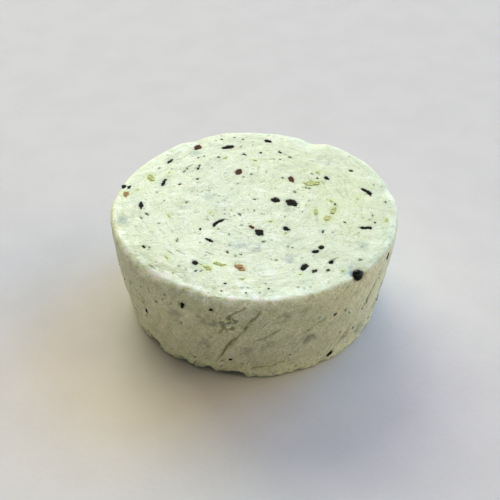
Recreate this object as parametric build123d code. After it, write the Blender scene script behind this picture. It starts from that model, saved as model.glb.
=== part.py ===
"""A hand-made shaving soap puck: one cast body of soap with dried botanicals set into it.

The soap is a short round block that tapers towards its base. Every leaf flake, petal chip, herb
shred and seed is a solid of its own, and the soap has a pocket of exactly its shape: open pockets
on the top, the flank and the base, and closed ones for what lies inside. Units are millimetres,
+Z is up, and the origin is the centre of the base.
"""

from build123d import *
import math
import os
import random

# The soap body
TOP_RADIUS = 38.0
BASE_RADIUS = 33.2
HEIGHT = 29.5
FLANK_BULGE = 0.35  # how far the flank swells past a straight taper, at mid-height
RIM_RADIUS = 2.0
FOOT_RADIUS = 0.9

# Thickness of each kind of botanical, and how far it stands out of the soap
LEAF_THICKNESS = 0.5
PETAL_THICKNESS = 0.6
HERB_THICKNESS = 0.4
SPECK_THICKNESS = 0.35
CRUMB_THICKNESS = 0.9
PROUD = 0.14
CRUMB_PROUD = 0.55
SHALLOW_COVER = 0.35  # soap left over the flakes that lie just under the surface

# The broken outline of a chip: how far its corners stray from even spacing, as a share of it, and
# the least of their distances from its middle, as a share of the greatest
CORNER_STRAY = 0.22
LEAST_REACH = 0.8
FEW_CORNERS, CORNERS, MANY_CORNERS = 5, 7, 9

# Width over length of what is scattered
LEAF_SLENDER, SPECK_SLENDER, HERB_SLENDER, PETAL_SLENDER = 0.6, 0.42, 0.4, 0.7

SEED_RADIUS = 1.5
SEED_CENTRE = (25.1, -27.0, HEIGHT - 0.95)

# The top was smeared round this point, so what lies in it points along circles about it
SWIRL_CENTRE = (-1.0, 1.0)
SWIRL_SPREAD = 25  # how far what lies in the top strays from the smear, in degrees
FLANK_TURN, FLANK_SPREAD = 25, 40  # the usual turn from level in the flank, and how far it strays
SCATTER_SEED = 11
GAP = 0.35  # least soap between two botanicals
RIM_MARGIN = 1.0  # from the flat top's edge to the middle of a scattered chip
FLANK_LOWEST, FLANK_HIGHEST = 2.0, HEIGHT - 3.2  # heights of what is scattered in the flank
BASE_MARGIN = 4.0

# What lies in the top face: x, y, length, width, turn of the long side in degrees, bow
TOP_LEAF_FLAKES = [
    (10.0, 2.0, 3.6, 2.9, 150, 0.0),
    (5.7, 3.3, 2.7, 2.0, 125, 0.0),
    (1.5, -10.9, 3.0, 2.2, 130, 0.0),
    (8.3, -9.3, 2.1, 1.4, 135, 0.2),
    (-9.1, -6.8, 4.3, 1.2, 48, 0.5),
    (30.0, 6.7, 4.5, 1.1, 128, -0.7),
    (28.4, -8.9, 3.9, 1.0, 3, 0.0),
    (12.3, -24.9, 2.7, 1.5, 60, 0.0),
    (18.9, -23.1, 1.6, 1.3, 80, 0.0),
    (16.9, -17.1, 1.5, 1.1, 95, 0.0),
    (15.5, -18.9, 1.9, 1.2, 8, 0.2),
    (14.9, -26.6, 2.1, 0.8, 28, 0.2),
    (-7.2, 29.2, 3.7, 1.7, 18, 0.0),
    (-24.2, 11.4, 3.4, 0.9, 75, 0.2),
    (-29.7, 1.1, 3.4, 0.9, 96, 0.0),
    (-35.3, 10.0, 1.6, 1.0, 95, 0.0),
    (-33.7, 9.7, 1.6, 1.1, 80, 0.0),
    (4.1, 32.3, 2.2, 1.4, 150, 0.0),
    (-23.2, 22.3, 2.3, 0.9, 62, 0.0),
    (19.9, 13.5, 1.7, 1.2, 118, 0.0),
    (-11.2, -14.0, 2.6, 0.9, 140, 0.2),
    (-14.6, -23.2, 1.8, 1.3, 115, 0.0),
]
TOP_RED_PETALS = [
    (-15.9, 29.5, 2.8, 2.2, 68, 0.0),
    (-4.1, 16.7, 3.0, 1.9, 72, 0.0),
    (10.2, 13.1, 2.8, 1.5, 98, 0.0),
    (-0.5, -8.7, 1.6, 1.0, 135, 0.0),
]
RUST_PETAL = (-3.5, -25.0, 3.2, 2.2, 145, 0.0)
AMBER_HUSK = (-34.1, 6.2, 2.7, 1.6, 95, 0.2)
TOP_HERB_SHREDS = [
    (16.0, 11.0, 3.9, 1.9, 12, 0.0),
    (19.2, -4.8, 2.7, 1.5, 52, 0.0),
    (20.9, -1.4, 3.3, 1.1, 70, 0.2),
    (-27.8, 13.9, 3.6, 1.7, 104, 0.3),
    (-11.3, -25.2, 2.5, 1.2, 140, 0.0),
    (-8.6, -23.7, 2.7, 1.2, 150, 0.0),
    (16.2, -2.1, 3.1, 0.8, 85, 0.0),
]
# Flakes just under the top face, which show through the soap as grey shadows
TOP_SHALLOW_FLAKES = [
    (-11.6, 4.3, 2.6, 1.8, 80, 0.0),
    (-0.7, -16.6, 3.2, 1.4, 165, 0.2),
    (-4.6, -16.0, 3.0, 1.1, 150, 0.0),
    (9.0, -21.3, 2.8, 1.6, 15, 0.0),
    (-10.8, 21.3, 3.2, 1.7, 35, 0.0),
    (27.0, -16.4, 2.0, 1.6, 60, 0.0),
    (-16.6, 25.7, 2.0, 1.4, 40, 0.0),
    (-19.6, -1.3, 3.2, 1.3, 100, 0.2),
    (19.3, 22.1, 3.0, 1.2, 140, 0.0),
    (-33.2, -5.6, 2.4, 1.8, 95, 0.0),
    (8.5, -0.6, 1.4, 0.7, 90, 0.0),
]

# What lies in the flank: azimuth in degrees, height, length, width, turn from level, bow
FLANK_LEAF_FLAKES = [
    (-118, 24.2, 1.8, 0.9, 70, 0.0),
    (-106, 25.4, 1.3, 0.8, 10, 0.0),
    (-140, 13.8, 1.7, 0.8, 80, 0.0),
    (-26, 26.2, 2.0, 0.9, 82, 0.0),
    (-55, 3.2, 1.8, 0.9, 60, 0.0),
    (-20, 9.0, 3.2, 1.1, 72, 0.3),
    (38, 17.0, 3.4, 1.5, 20, 0.2),
    (92, 9.5, 2.8, 1.9, 130, 0.0),
    (151, 20.5, 3.0, 1.3, 65, 0.3),
]
FLANK_SHALLOW_FLAKES = [
    (-122, 20.4, 2.6, 1.6, 30, 0.0),
    (-108, 21.2, 3.6, 2.4, 20, 0.0),
    (-94, 11.4, 3.4, 1.5, 160, 0.0),
    (-84, 13.2, 2.2, 1.3, 20, 0.0),
    (-79, 23.0, 2.0, 1.2, 30, 0.0),
    (-67, 12.8, 2.4, 1.6, 50, 0.0),
    (-111, 12.0, 2.3, 1.5, 120, 0.0),
    (-37, 5.2, 2.6, 1.2, 60, 0.0),
    (0, 19.0, 3.0, 1.8, 35, 0.0),
    (63, 12.0, 3.2, 1.6, 140, 0.0),
    (124, 22.0, 2.8, 1.8, 20, 0.0),
    (178, 11.0, 3.0, 1.5, 75, 0.0),
]
# Crumbs of soap stuck to the flank: azimuth, height, length, width
FLANK_CRUMBS = [
    (-49, 17.3, 1.1, 0.9),
    (-81, 1.6, 1.3, 0.9),
    (-124, 1.7, 1.5, 0.9),
    (-116, 1.5, 1.1, 0.8),
    (-100, 20.4, 1.0, 0.8),
    (-64, 20.2, 0.9, 0.8),
    (24, 2.0, 1.3, 1.0),
    (107, 1.8, 1.2, 0.9),
    (168, 16.0, 1.0, 0.8),
]

# How many of each kind are scattered, and the shortest and longest of them
TOP_LEAF_SPECKS = (72, 0.45, 1.3)
TOP_HERB_SPECKS = (22, 0.7, 1.8)
FLANK_LEAF_SPECKS = (64, 0.4, 1.0)
FLANK_HERB_SPECKS = (16, 0.8, 1.8)
BASE_LEAF_FLAKES = (26, 0.8, 3.2)
BASE_HERB_SHREDS = (8, 1.4, 3.0)
BURIED_LEAF_FLAKES = (22, 1.6, 3.8)
BURIED_HERB_SHREDS = (9, 1.8, 3.6)
BURIED_RED_PETALS = (5, 1.8, 3.0)
BURIED_COVER = 4.0  # least soap between the inner botanicals and any surface

FLANK_SLOPE = math.degrees(math.atan2(TOP_RADIUS - BASE_RADIUS, HEIGHT))


def flank_radius(z):
    """Radius of the flank at height z, clear of the rounded rim and foot."""
    share = z / HEIGHT
    return BASE_RADIUS + (TOP_RADIUS - BASE_RADIUS) * share + 4 * FLANK_BULGE * share * (1 - share)


def soap_blank():
    """The soap body before its pockets are cut: a revolved profile with a rounded rim and foot."""
    foot, rim = (BASE_RADIUS, 0), (TOP_RADIUS, HEIGHT)
    profile = [
        Line((0, 0), foot),
        ThreePointArc(foot, (flank_radius(HEIGHT / 2), HEIGHT / 2), rim),
        Line(rim, (0, HEIGHT)),
        Line((0, HEIGHT), (0, 0)),
    ]
    body = revolve(Plane.XZ * make_face(profile), Axis.Z)
    circles = body.edges().filter_by(GeomType.CIRCLE).sort_by(Axis.Z)
    body = fillet(circles[-1], RIM_RADIUS)
    circles = body.edges().filter_by(GeomType.CIRCLE).sort_by(Axis.Z)
    return fillet(circles[0], FOOT_RADIUS)


def filled(values, size):
    """The values moved and scaled so that they run from -size / 2 to size / 2."""
    low, high = min(values), max(values)
    return [((v - low) / (high - low) - 0.5) * size for v in values]


def chip(length, width, thickness, rng, bow=0.0, corners=CORNERS):
    """A flat chip with a broken outline, long side along X, its outer face in the XY plane."""
    places = [i + rng.uniform(-CORNER_STRAY, CORNER_STRAY) for i in range(corners)]
    angles = [2 * math.pi * place / corners for place in places]
    reaches = [rng.uniform(LEAST_REACH, 1.0) for _ in angles]
    xs = filled([reach * math.cos(angle) for angle, reach in zip(angles, reaches)], length)
    ys = filled([reach * math.sin(angle) for angle, reach in zip(angles, reaches)], width)
    outline = [(x, y + bow * (1 - (2 * x / length) ** 2)) for x, y in zip(xs, ys)]
    return extrude(make_face(Polyline(*outline, close=True)), -thickness)


def top_seat(x, y, turn, lift):
    """Where a chip lies in the top face, with its outer face lift above it."""
    return Location((x, y, HEIGHT + lift), (0, 0, turn))


def base_seat(x, y, turn):
    """Where a chip lies in the base, with its outer face down and flush with the resting plane."""
    return Location((x, y, 0), (180, 0, turn))


def flank_seat(azimuth, z, turn, lift):
    """Where a chip lies in the flank: its own X axis runs level along the flank, then turns."""
    around = Location((0, 0, 0), (0, 0, azimuth))
    out = Location((flank_radius(z), 0, z), (0, 90 + FLANK_SLOPE, 0))
    level = Location((0, 0, lift), (0, 0, 90 + turn))
    return around * out * level


def swirl_turn(x, y, rng):
    """The direction of the smear at a point of the top, give or take."""
    along = math.atan2(y - SWIRL_CENTRE[1], x - SWIRL_CENTRE[0]) + math.pi / 2
    return math.degrees(along) + rng.gauss(0, SWIRL_SPREAD)


def free_spot(taken, spot, reach):
    """True, and the spot is then taken, if a chip of that reach clears all the others there."""
    if any(math.dist(spot, other) < reach + its_reach + GAP for other, its_reach in taken):
        return False
    taken.append((spot, reach))
    return True


def scatter(count, shortest, longest, rng, taken, pick):
    """count spots from pick(), with lengths mostly near the shortest, clear of what is there."""
    found = []
    while len(found) < count:
        length = shortest + (longest - shortest) * rng.random() ** 2
        spot = pick()
        if free_spot(taken, spot, length / 2):
            found.append((spot, length))
    return found


def pick_on_disc(rng, radius):
    """A random point of a disc about the origin."""
    angle, reach = rng.uniform(0, 2 * math.pi), radius * math.sqrt(rng.random())
    return reach * math.cos(angle), reach * math.sin(angle)


def pick_on_flank(rng):
    """A random point of the flank as arc length round it and height."""
    return rng.uniform(-math.pi, math.pi) * TOP_RADIUS, rng.uniform(FLANK_LOWEST, FLANK_HIGHEST)


def pick_inside(rng):
    """A random point inside the soap, clear of its surfaces."""
    z = rng.uniform(BURIED_COVER, HEIGHT - BURIED_COVER)
    return (*pick_on_disc(rng, flank_radius(z) - BURIED_COVER), z)


def named(stem, solids):
    """stem_01, stem_02 and so on, one node for each solid."""
    return {f"{stem}_{i:02d}": [solid] for i, solid in enumerate(solids, 1)}


def top_botanicals(rng):
    """Every botanical that shows in the top face, and the flakes just under it."""
    taken = [(SEED_CENTRE[:2], SEED_RADIUS)]

    def lay(rows, thickness, lift, corners=CORNERS):
        """Chips for rows of x, y, length, width, turn and bow."""
        made = []
        for x, y, length, width, turn, bow in rows:
            taken.append(((x, y), length / 2))
            flake = chip(length, width, thickness, rng, bow, corners)
            made.append(top_seat(x, y, turn, lift) * flake)
        return made

    def strew(kind, slender, thickness):
        """Small chips scattered over the top, lying along the smear."""
        reach = TOP_RADIUS - RIM_RADIUS - RIM_MARGIN
        spots = scatter(*kind, rng, taken, lambda: pick_on_disc(rng, reach))
        return [
            top_seat(x, y, swirl_turn(x, y, rng), PROUD)
            * chip(length, length * slender, thickness, rng, corners=FEW_CORNERS)
            for (x, y), length in spots
        ]

    nodes = named("leaf_flake", lay(TOP_LEAF_FLAKES, LEAF_THICKNESS, PROUD, corners=MANY_CORNERS))
    nodes |= named("red_petal", lay(TOP_RED_PETALS, PETAL_THICKNESS, PROUD))
    nodes["rust_petal"] = lay([RUST_PETAL], PETAL_THICKNESS, PROUD, corners=MANY_CORNERS)
    nodes["amber_husk"] = lay([AMBER_HUSK], PETAL_THICKNESS, PROUD)
    nodes |= named("herb_shred", lay(TOP_HERB_SHREDS, HERB_THICKNESS, PROUD))
    nodes["shallow_flakes_top"] = lay(TOP_SHALLOW_FLAKES, LEAF_THICKNESS, -SHALLOW_COVER)
    nodes["leaf_specks_top"] = strew(TOP_LEAF_SPECKS, SPECK_SLENDER, SPECK_THICKNESS)
    nodes["herb_specks_top"] = strew(TOP_HERB_SPECKS, HERB_SLENDER, HERB_THICKNESS)
    nodes["round_seed"] = [Location(SEED_CENTRE) * Sphere(SEED_RADIUS)]
    return nodes


def flank_botanicals(rng):
    """Every botanical and crumb that shows in the flank, and the flakes just under it."""
    taken = []

    def lay(rows, thickness, lift, corners=CORNERS):
        """Chips for rows of azimuth, height, length, width, turn and bow."""
        made = []
        for azimuth, z, length, width, turn, bow in rows:
            taken.append(((math.radians(azimuth) * TOP_RADIUS, z), length / 2))
            flake = chip(length, width, thickness, rng, bow, corners)
            made.append(flank_seat(azimuth, z, turn, lift) * flake)
        return made

    def strew(kind, slender, thickness):
        """Small chips scattered over the flank, mostly level."""
        return [
            flank_seat(math.degrees(arc / TOP_RADIUS), z, rng.gauss(FLANK_TURN, FLANK_SPREAD), PROUD)
            * chip(length, length * slender, thickness, rng, corners=FEW_CORNERS)
            for (arc, z), length in scatter(*kind, rng, taken, lambda: pick_on_flank(rng))
        ]

    crumbs = [(azimuth, z, length, width, 0, 0.0) for azimuth, z, length, width in FLANK_CRUMBS]
    nodes = named("flank_leaf_flake", lay(FLANK_LEAF_FLAKES, LEAF_THICKNESS, PROUD, corners=MANY_CORNERS))
    nodes["soap_crumbs"] = lay(crumbs, CRUMB_THICKNESS, CRUMB_PROUD)
    nodes["shallow_flakes_flank"] = lay(FLANK_SHALLOW_FLAKES, LEAF_THICKNESS, -SHALLOW_COVER)
    nodes["leaf_specks_flank"] = strew(FLANK_LEAF_SPECKS, SPECK_SLENDER, SPECK_THICKNESS)
    nodes["herb_specks_flank"] = strew(FLANK_HERB_SPECKS, HERB_SLENDER, HERB_THICKNESS)
    return nodes


def base_botanicals(rng):
    """What shows in the base, flush with the plane that the puck rests on."""
    taken = []

    def strew(kind, slender, thickness):
        """Chips scattered over the base at any turn."""
        spots = scatter(*kind, rng, taken, lambda: pick_on_disc(rng, BASE_RADIUS - BASE_MARGIN))
        return [
            base_seat(x, y, rng.uniform(0, 180))
            * chip(length, length * slender, thickness, rng)
            for (x, y), length in spots
        ]

    return {
        "base_leaf_flakes": strew(BASE_LEAF_FLAKES, LEAF_SLENDER, LEAF_THICKNESS),
        "base_herb_shreds": strew(BASE_HERB_SHREDS, HERB_SLENDER, HERB_THICKNESS),
    }


def buried_botanicals(rng):
    """What the soap holds inside, at any angle, each in a closed pocket."""
    taken = []

    def strew(kind, slender, thickness):
        """Chips scattered through the soap."""
        return [
            Location(spot, [rng.uniform(0, 180) for _ in "xyz"])
            * chip(length, length * slender, thickness, rng)
            for spot, length in scatter(*kind, rng, taken, lambda: pick_inside(rng))
        ]

    return {
        "buried_leaf_flakes": strew(BURIED_LEAF_FLAKES, LEAF_SLENDER, LEAF_THICKNESS),
        "buried_herb_shreds": strew(BURIED_HERB_SHREDS, HERB_SLENDER, HERB_THICKNESS),
        "buried_red_petals": strew(BURIED_RED_PETALS, PETAL_SLENDER, PETAL_THICKNESS),
    }


def main():
    """Builds the botanicals, cuts the soap's pockets to fit them, and writes every node."""
    rng = random.Random(SCATTER_SEED)
    nodes = top_botanicals(rng) | flank_botanicals(rng) | base_botanicals(rng) | buried_botanicals(rng)
    inclusions = [solid for group in nodes.values() for solid in group]
    soap = soap_blank() - inclusions
    nodes["soap_puck"] = soap.solids()

    os.makedirs("parts", exist_ok=True)
    for name, solids in nodes.items():
        node = solids[0] if len(solids) == 1 else Compound(children=solids)
        export_step(node, f"parts/{name}.step")
    print(len(nodes), "nodes,", len(inclusions) + len(nodes["soap_puck"]), "solids")
    print("soap", round(soap.volume / 1000, 2), "cm3, botanicals",
          round(sum(s.volume for s in inclusions) / 1000, 3), "cm3")


main()
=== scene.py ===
"""The looks of the shaving soap puck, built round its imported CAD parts.

The soap is a fine mesh laid over the CAD body's outline and then worked: a smeared top, a creased
and pitted flank and a ragged foot. Every botanical is its CAD solid, remeshed, torn and crinkled
where it lies. Lengths and points inside are millimetres, and meshes go out in metres.
"""

import math
import random

import bmesh
import bpy
import numpy as np
from mathutils import Matrix, Vector
from mathutils.geometry import delaunay_2d_cdt
from mathutils.kdtree import KDTree


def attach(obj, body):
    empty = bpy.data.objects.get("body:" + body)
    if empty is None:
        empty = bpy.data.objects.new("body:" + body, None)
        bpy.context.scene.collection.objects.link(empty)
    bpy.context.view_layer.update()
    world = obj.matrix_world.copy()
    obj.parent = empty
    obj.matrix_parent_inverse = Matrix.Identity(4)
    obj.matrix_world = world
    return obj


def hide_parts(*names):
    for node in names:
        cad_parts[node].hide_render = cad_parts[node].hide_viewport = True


MM = 0.001
UP = np.array([0.0, 0.0, 1.0])
TINY = 1e-6

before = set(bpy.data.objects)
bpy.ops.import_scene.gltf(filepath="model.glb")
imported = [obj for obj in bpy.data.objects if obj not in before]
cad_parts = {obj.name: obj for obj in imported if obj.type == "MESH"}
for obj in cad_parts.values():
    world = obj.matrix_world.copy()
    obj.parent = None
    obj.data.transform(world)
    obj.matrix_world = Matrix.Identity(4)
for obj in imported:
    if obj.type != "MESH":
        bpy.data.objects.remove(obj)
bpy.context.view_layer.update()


# ---- Noise ----

def lattice_hash(cell, seed):
    """A repeatable 32-bit number for each row of whole numbers."""
    c = cell.astype(np.int64).astype(np.uint32)
    h = c[:, 0] * np.uint32(374761393) + c[:, 1] * np.uint32(668265263)
    h = h + c[:, 2] * np.uint32(2246822519) + np.uint32(seed * 3266489917 % 2**32)
    h = (h ^ (h >> np.uint32(13))) * np.uint32(1274126177)
    h = (h ^ (h >> np.uint32(16))) * np.uint32(2654435769)
    return h ^ (h >> np.uint32(15))


def hash_vectors(h, low, high):
    """Three numbers between low and high from each hash."""
    most = 1023  # ten bits of the hash to each number
    parts = np.stack([(h >> np.uint32(shift)) & most for shift in (0, 10, 20)], 1)
    return low + (high - low) * parts / most


def noise(points, size, seed):
    """Smooth noise, about -1 to 1, with features about size across."""
    q = points / size
    cell = np.floor(q)
    f = q - cell
    ease = f * f * f * (f * (f * 6 - 15) + 10)
    total = np.zeros(len(points))
    for corner in np.ndindex(2, 2, 2):
        corner = np.array(corner)
        slope = hash_vectors(lattice_hash(cell + corner, seed), -1, 1)
        weight = np.where(corner == 1, ease, 1 - ease).prod(1)
        total += weight * (slope * (f - corner)).sum(1)
    return total * 1.5


def fractal(points, size, seed, octaves=3):
    """Noise at size and at finer sizes, each half as large and half as strong."""
    return sum(noise(points, size / 2**i, seed + i) / 2**i for i in range(octaves))


def vector_noise(points, size, seed):
    """Noise in each of three directions."""
    return np.stack([noise(points, size, seed + i) for i in range(3)], 1)


def nearest_spot(points, spacing, seed, share):
    """Distance to the nearest of the spots scattered spacing apart, of which only share exist."""
    q = points / spacing
    cell = np.floor(q)
    best = np.full(len(points), 3.0)
    for step in np.ndindex(3, 3, 3):
        near = cell + np.array(step) - 1
        there = lattice_hash(near, seed + 77) % np.uint32(1000) < share * 1000
        spot = near + hash_vectors(lattice_hash(near, seed), 0.1, 0.9)
        best = np.where(there, np.minimum(best, np.linalg.norm(spot - q, axis=1)), best)
    return best * spacing


def smoothstep(low, high, x):
    """0 before low, 1 past high, and an S between; high may be the smaller."""
    t = np.clip((x - low) / (high - low), 0, 1)
    return t * t * (3 - 2 * t)


def bell(x, width):
    """1 at 0, falling away over about width."""
    return np.exp(-((x / width) ** 2))


# ---- The puck's outline, read from the CAD body ----

def points_of(parts, key="co"):
    """A mesh's vertices, or the centres of its faces, as rows of x, y, z."""
    flat = np.empty(len(parts) * 3, np.float32)
    parts.foreach_get(key, flat)
    return flat.reshape(-1, 3).astype(float)


def convex_outline(points):
    """Radius and height of the outline's corners, from the top's centre out, down and back in."""
    radii = np.hypot(points[:, 0], points[:, 1])
    flat = np.unique(np.round(np.stack([-points[:, 2], radii], 1), 3), axis=0)
    kept = [np.array([flat[0, 0], 0.0])]
    for corner in [*flat, np.array([flat[-1, 0], 0.0])]:
        while len(kept) > 1:
            before, last = corner - kept[-2], kept[-1] - kept[-2]
            if last[0] * before[1] - last[1] * before[0] < 0:
                break
            kept.pop()
        kept.append(corner)
    return np.array([(radius, -height) for height, radius in kept])


OUTLINE = convex_outline(points_of(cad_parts["soap_puck"].data.vertices) / MM)
HEIGHT = OUTLINE[0, 1]
TOP_FLAT = OUTLINE[1, 0]  # where the rim's rounding starts
BASE_FLAT = OUTLINE[-2, 0]
EDGE_HEIGHT = 3.0  # more than the rim and the foot are rounded over
FLANK_ROWS = OUTLINE[(OUTLINE[:, 1] > EDGE_HEIGHT) & (OUTLINE[:, 1] < HEIGHT - EDGE_HEIGHT)]
FLANK_CURVE = np.polyfit(FLANK_ROWS[:, 1], FLANK_ROWS[:, 0], 2)
MEAN_RADIUS = np.polyval(FLANK_CURVE, HEIGHT / 2)


# ---- What has been worked into the surface ----

SWIRL_CENTRE = np.array([-1.0, 1.0, 0.0])  # the top was smeared round this point
SMEAR_RADIUS = 3.4  # how far out the smears are as long as they are wide
DRAG_TWIST, DRAG_STRETCH = 0.019, 6  # how far drag marks lean, in radians per mm, and how long they are
CORNER_EASE = 0.02  # keeps the shares of top and flank defined on an edge

# Where the rim has slumped: azimuth, half width in degrees, how far
RIM_SLUMPS = [(-134, 27, 1.3), (158, 22, 0.5), (75, 16, 0.35), (-12, 9, 0.3)]
SLUMP_REACH = 4.6
SLUMP_DOWN, SLUMP_IN = 0.8, 0.7  # shares of a slump that go down and in
# Dents in the rim: azimuth, half width in degrees, how far in, how far down
RIM_DENTS = [(63, 5, 1.0, 0.7), (117, 4, 0.45, 0.4), (-168, 5, 0.4, 0.5), (12, 4, 0.3, 0.25)]
DENT_REACH_IN, DENT_REACH_DOWN = 6.0, 4.5
RIM_CRISPNESS = 0.68  # how far the corner fills out where the rim is crisp

# Creases in the flank: azimuth and height of a few points along each, from its upper end down,
# then its depth and how far the soap on its right stands out
CREASES = [
    ([(-86.7, 27.2), (-91.8, 21.7), (-95.4, 17.4), (-102.3, 10.0), (-107.5, 3.1)], 0.55, 0.4),
    ([(-92.2, 27.6), (-95.8, 25.6), (-102.1, 21.3), (-105.9, 18.4)], 0.5, -0.4),
    ([(-79.6, 19.6), (-83.0, 17.6), (-91.9, 14.1)], 0.32, 0.12),
    ([(-76.7, 5.8), (-87.4, 4.4), (-93.4, 3.5)], 0.3, 0.15),
    ([(-60.4, 19.4), (-65.1, 18.6), (-73.4, 14.4)], 0.2, 0.08),
    ([(-44.8, 12.0), (-47.4, 9.4), (-54.4, 4.7)], 0.2, 0.1),
    ([(-30.0, 24.5), (-36.0, 17.0), (-41.0, 13.5)], 0.18, 0.1),
]
MORE_CREASES = 15  # round the sides and back, in the same manner
SIDES_START, SIDES_SWEEP = -22, 208  # azimuth where they start, and how far they go
CREASE_SEED = 5
CREASE_WIDTH, CREASE_BITE = 0.2, 1.25  # the bite is a share of its depth
FOLD_HEIGHT, FOLD_GAP, FOLD_WIDTH = 0.3, 0.7, 0.4  # of the soap folded up beside a crease
STEP_REACH = 5.0  # how far beside a crease the soap stands out

# Crumbly places in the flank: azimuth, height, reach
CRUMBLY_PLACES = [(-99.5, 20.6, 2.3), (-143, 17.0, 1.6), (70, 21.0, 2.2), (160, 8.0, 1.8), (-12, 14.5, 1.4)]

# Pits and grains: height, spacing, share of places with one, outer and inner radius, how far its edge
# strays, over what size, and seed
TOP_MARKS = [(-0.26, 2.6, 0.4, 0.42, 0.12, 0.15, 0.8, 52), (0.12, 3.6, 0.4, 0.45, 0.1, 0.2, 0.9, 55)]
FLANK_MARKS = [(-0.38, 2.9, 0.35, 0.5, 0.12, 0.25, 0.9, 66), (0.16, 3.4, 0.35, 0.5, 0.1, 0.25, 0.9, 68)]

# Where the foot is chipped away from below: azimuth, half width in degrees, height, how far in
FOOT_CHIPS = [
    (-110, 16, 0.3, 0.5), (-101, 4.5, 0.8, 0.2), (-110.5, 2.0, 0.6, 0.3), (-89, 1.2, 0.4, 0.1),
    (-122, 1.4, 0.5, 0.3), (-141.5, 3.2, 1.4, 1.6), (-150, 1.2, 0.4, 0.3), (-76, 0.8, 0.3, 0.1),
    (-64, 1.4, 0.3, 0.2), (-50, 1.0, 0.3, 0.2), (-29, 3.0, 0.5, 0.4), (-8, 2.0, 0.4, 0.3),
    (20, 4.0, 0.6, 0.5), (47, 2.0, 0.4, 0.3), (68, 3.0, 0.5, 0.5), (88, 4.0, 0.8, 0.8),
    (122, 3.0, 0.6, 0.5), (146, 2.0, 0.4, 0.4), (170, 4.0, 0.8, 0.7), (-166, 2.0, 0.5, 0.4),
]
FOOT_BAND = 3.2  # height of the ragged edge above the base
FOOT_UNDERCUT = 2.6  # how far in under the edge a lifted place reaches


def turned(azimuth, centre):
    """Azimuth measured from centre, between -180 and 180."""
    return (azimuth - centre + 180) % 360 - 180


class Places:
    """Where the points p lie on the puck: their shares of top, flank and base, and the rest."""

    def __init__(self, p):
        self.p, self.level = p, p * [1, 1, 0]  # level has no heights
        self.radius = np.hypot(p[:, 0], p[:, 1])
        self.azimuth = np.degrees(np.arctan2(p[:, 1], p[:, 0]))
        self.outward = self.level / np.maximum(self.radius, TINY)[:, None]
        self.inward = np.maximum(np.polyval(FLANK_CURVE, p[:, 2]) - self.radius, 0)
        self.below_top = np.maximum(HEIGHT - p[:, 2], 0)
        self.above_base = np.maximum(p[:, 2], 0)
        edge = self.inward + CORNER_EASE
        upper = p[:, 2] > HEIGHT / 2
        self.top = np.where(upper, edge / (edge + self.below_top + CORNER_EASE), 0)
        self.base = np.where(upper, 0, edge / (edge + self.above_base + CORNER_EASE))
        self.flank = 1 - self.top - self.base

    def around(self, centre, half_width):
        """1 at an azimuth, falling away over half_width degrees."""
        return bell(turned(self.azimuth, centre), half_width)

    def along(self, line):
        """Distance from a line of azimuths and heights, positive to its right as one faces the
        flank, and how far along the line each point lies, from 0 to 1."""
        middle = np.mean([azimuth for azimuth, _ in line])
        across = math.radians(1) * MEAN_RADIUS
        u, v = turned(self.azimuth, middle) * across, self.p[:, 2]
        corners = rounded([((azimuth - middle) * across, z) for azimuth, z in line])
        whole = sum(math.dist(a, b) for a, b in zip(corners, corners[1:]))
        nearest, share, done = np.full(len(u), 1e3), np.zeros(len(u)), 0.0
        for a, b in zip(corners, corners[1:]):
            du, dv = b[0] - a[0], b[1] - a[1]
            length = math.hypot(du, dv)
            t = np.clip(((u - a[0]) * du + (v - a[1]) * dv) / length**2, 0, 1)
            gap = np.hypot(u - a[0] - t * du, v - a[1] - t * dv)
            side = np.sign(du * (v - a[1]) - dv * (u - a[0]))
            nearer = gap < np.abs(nearest)
            nearest = np.where(nearer, gap * side, nearest)
            share = np.where(nearer, (done + t * length) / whole, share)
            done += length
        return nearest, share

    def shift(self, up, out, lift):
        """A shift for each point: up on the top, out on the flank and lifted on the base."""
        return ((self.top * up + self.base * lift)[:, None] * UP
                + (self.flank * out)[:, None] * self.outward)


def rounded(line):
    """The line with its corners cut, twice over."""
    for _ in range(2):
        cut = [line[0]]
        for (ax, ay), (bx, by) in zip(line, line[1:]):
            cut += [(ax * (1 - t) + bx * t, ay * (1 - t) + by * t) for t in (0.25, 0.75)]
        line = [*cut, line[-1]]
    return line


def more_creases():
    """Creases for the sides and back: each runs down and to the left, as those in front do."""
    rng = random.Random(CREASE_SEED)
    made = []
    for i in range(MORE_CREASES):
        azimuth = SIDES_START + SIDES_SWEEP * (i + rng.uniform(0.2, 0.8)) / MORE_CREASES
        z, slope = rng.uniform(10, 27), rng.uniform(0.4, 2.2)
        line = [(azimuth, z)]
        for _ in range(rng.randint(2, 4)):
            run = rng.uniform(1.5, 3.5)
            slope *= rng.uniform(0.75, 1.3)
            azimuth -= math.degrees(run / MEAN_RADIUS)
            z -= run * slope
            if z > 2:
                line.append((azimuth, z))
        made.append((line, rng.uniform(0.15, 0.5), rng.uniform(-0.25, 0.4)))
    return made


ALL_CREASES = CREASES + more_creases()


def taper(share):
    """1 along the middle of a line, down to 0 at its ends."""
    return smoothstep(0, 0.08, share) * smoothstep(1, 0.72, share)


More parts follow.
